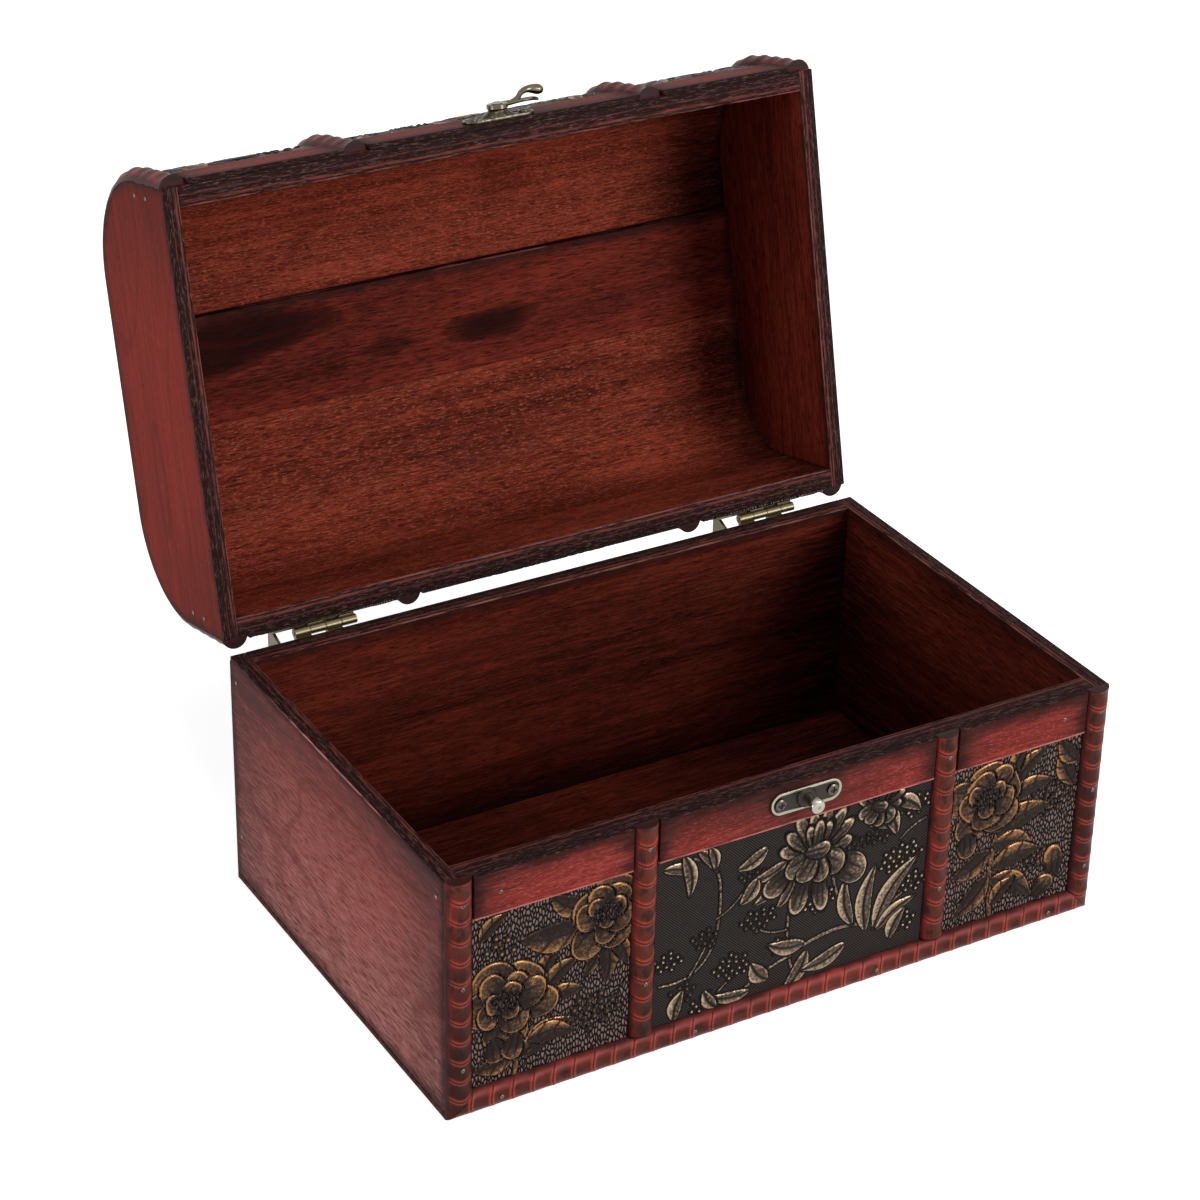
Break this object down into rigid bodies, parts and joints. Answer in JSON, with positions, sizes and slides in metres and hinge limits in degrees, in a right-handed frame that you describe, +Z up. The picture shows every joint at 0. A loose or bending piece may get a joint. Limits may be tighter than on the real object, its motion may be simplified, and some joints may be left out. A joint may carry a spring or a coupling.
{
  "type": "treasure chest",
  "caption": "Small stained wooden chest with a hinged barrel lid, embossed leatherette front fields, half-round mouldings and a swing-hook latch.",
  "frame": {"origin": "middle of the base's underside, on the surface that it stands on", "axes": "+X to the right end seen from the front, +Y to the back, +Z up"},
  "size_m": [0.2308, 0.2411, 0.2298],
  "materials": {
    "stained_board": "satin mahogany stain",
    "red_strip": "satin red stain, dark edges",
    "red_moulding": "satin red stain, rubbed scallops",
    "brown_leatherette": "embossed, bronze rubbed",
    "black_leatherette": "embossed, pewter rubbed",
    "antique_bronze": "antique, bright worn edges",
    "pale_brass": "polished",
    "brad_steel": "dull nail heads"
  },
  "bodies": {
    "base": {"back_brads": "brad_steel", "back_corner_moulding_left": "red_moulding", "back_corner_moulding_right": "red_moulding", "base_back_panel": "stained_board", "base_bottom_panel": "stained_board", "base_end_brads": "brad_steel", "base_front_panel": "stained_board", "base_left_end": "stained_board", "base_right_end": "stained_board", "front_bottom_moulding": "red_moulding", "front_brads": "brad_steel", "front_corner_moulding_left": "red_moulding", "front_corner_moulding_right": "red_moulding", "front_divider_moulding_left": "red_moulding", "front_divider_moulding_right": "red_moulding", "front_leather_centre": "black_leatherette", "front_leather_left": "brown_leatherette", "front_leather_right": "brown_leatherette", "front_top_strip_centre": "red_strip", "front_top_strip_left": "red_strip", "front_top_strip_right": "red_strip", "hinge_base_screws": "pale_brass", "hinge_left_base_leaf": "pale_brass", "hinge_left_pin": "pale_brass", "hinge_right_base_leaf": "pale_brass", "hinge_right_pin": "pale_brass", "latch_peg": "antique_bronze", "latch_staple_plate": "antique_bronze", "latch_staple_screws": "antique_bronze"},
    "lid": {"hinge_left_lid_leaf": "pale_brass", "hinge_lid_screws": "pale_brass", "hinge_right_lid_leaf": "pale_brass", "hoop_brads": "brad_steel", "latch_plate": "antique_bronze", "latch_plate_screws": "antique_bronze", "latch_rivet": "antique_bronze", "lid_back_board": "stained_board", "lid_back_rail": "stained_board", "lid_end_brads": "brad_steel", "lid_front_board": "stained_board", "lid_front_rail": "stained_board", "lid_front_strip_centre": "red_strip", "lid_front_strip_left": "red_strip", "lid_front_strip_right": "red_strip", "lid_hoop_left_end": "red_moulding", "lid_hoop_left_middle": "red_moulding", "lid_hoop_right_end": "red_moulding", "lid_hoop_right_middle": "red_moulding", "lid_leather_centre": "black_leatherette", "lid_leather_left": "brown_leatherette", "lid_leather_right": "brown_leatherette", "lid_left_end": "stained_board", "lid_middle_board": "stained_board", "lid_right_end": "stained_board"},
    "latch_hook": {"latch_hook": "antique_bronze"}
  },
  "joints": [
    {"name": "lid_hinge", "type": "hinge", "parent": "base", "child": "lid", "pos_m": [0, 0.0735, 0.0823], "axis": [1, 0, 0], "range_deg": [0, 103.5]},
    {"name": "latch_swing", "type": "hinge", "parent": "lid", "child": "latch_hook", "pos_m": [0.0008, 0.11206, 0.22319], "axis": [0, -0.2334, -0.9724], "range_deg": [-60, 78]}
  ]
}
